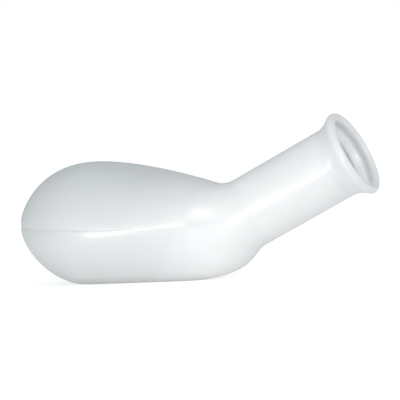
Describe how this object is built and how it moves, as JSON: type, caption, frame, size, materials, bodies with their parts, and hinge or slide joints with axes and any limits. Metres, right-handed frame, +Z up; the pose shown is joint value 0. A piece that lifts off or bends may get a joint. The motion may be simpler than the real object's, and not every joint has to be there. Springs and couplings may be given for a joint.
{
  "type": "urine bottle",
  "caption": "Hollow urine bottle that lies on a flat base, with a rounded body of two lapped shells, a slanting round neck and a flared mouth with a round lip.",
  "frame": {"origin": "on the flat base, in the bottle's plane of symmetry, 98 mm ahead of the tail tip", "axes": "+X from the tail towards the mouth, +Z up, +Y across the bottle"},
  "size_m": [0.2922, 0.114, 0.1242],
  "materials": {
    "body": "milky, slightly translucent moulded plastic, satin gloss",
    "neck": "milky, slightly translucent moulded plastic, satin gloss",
    "mouth": "milky, slightly translucent moulded plastic, satin gloss"
  },
  "bodies": {
    "root": {"upper_shell": "body", "lower_shell": "body", "neck_tube": "neck", "mouth_flare": "mouth"}
  },
  "joints": []
}
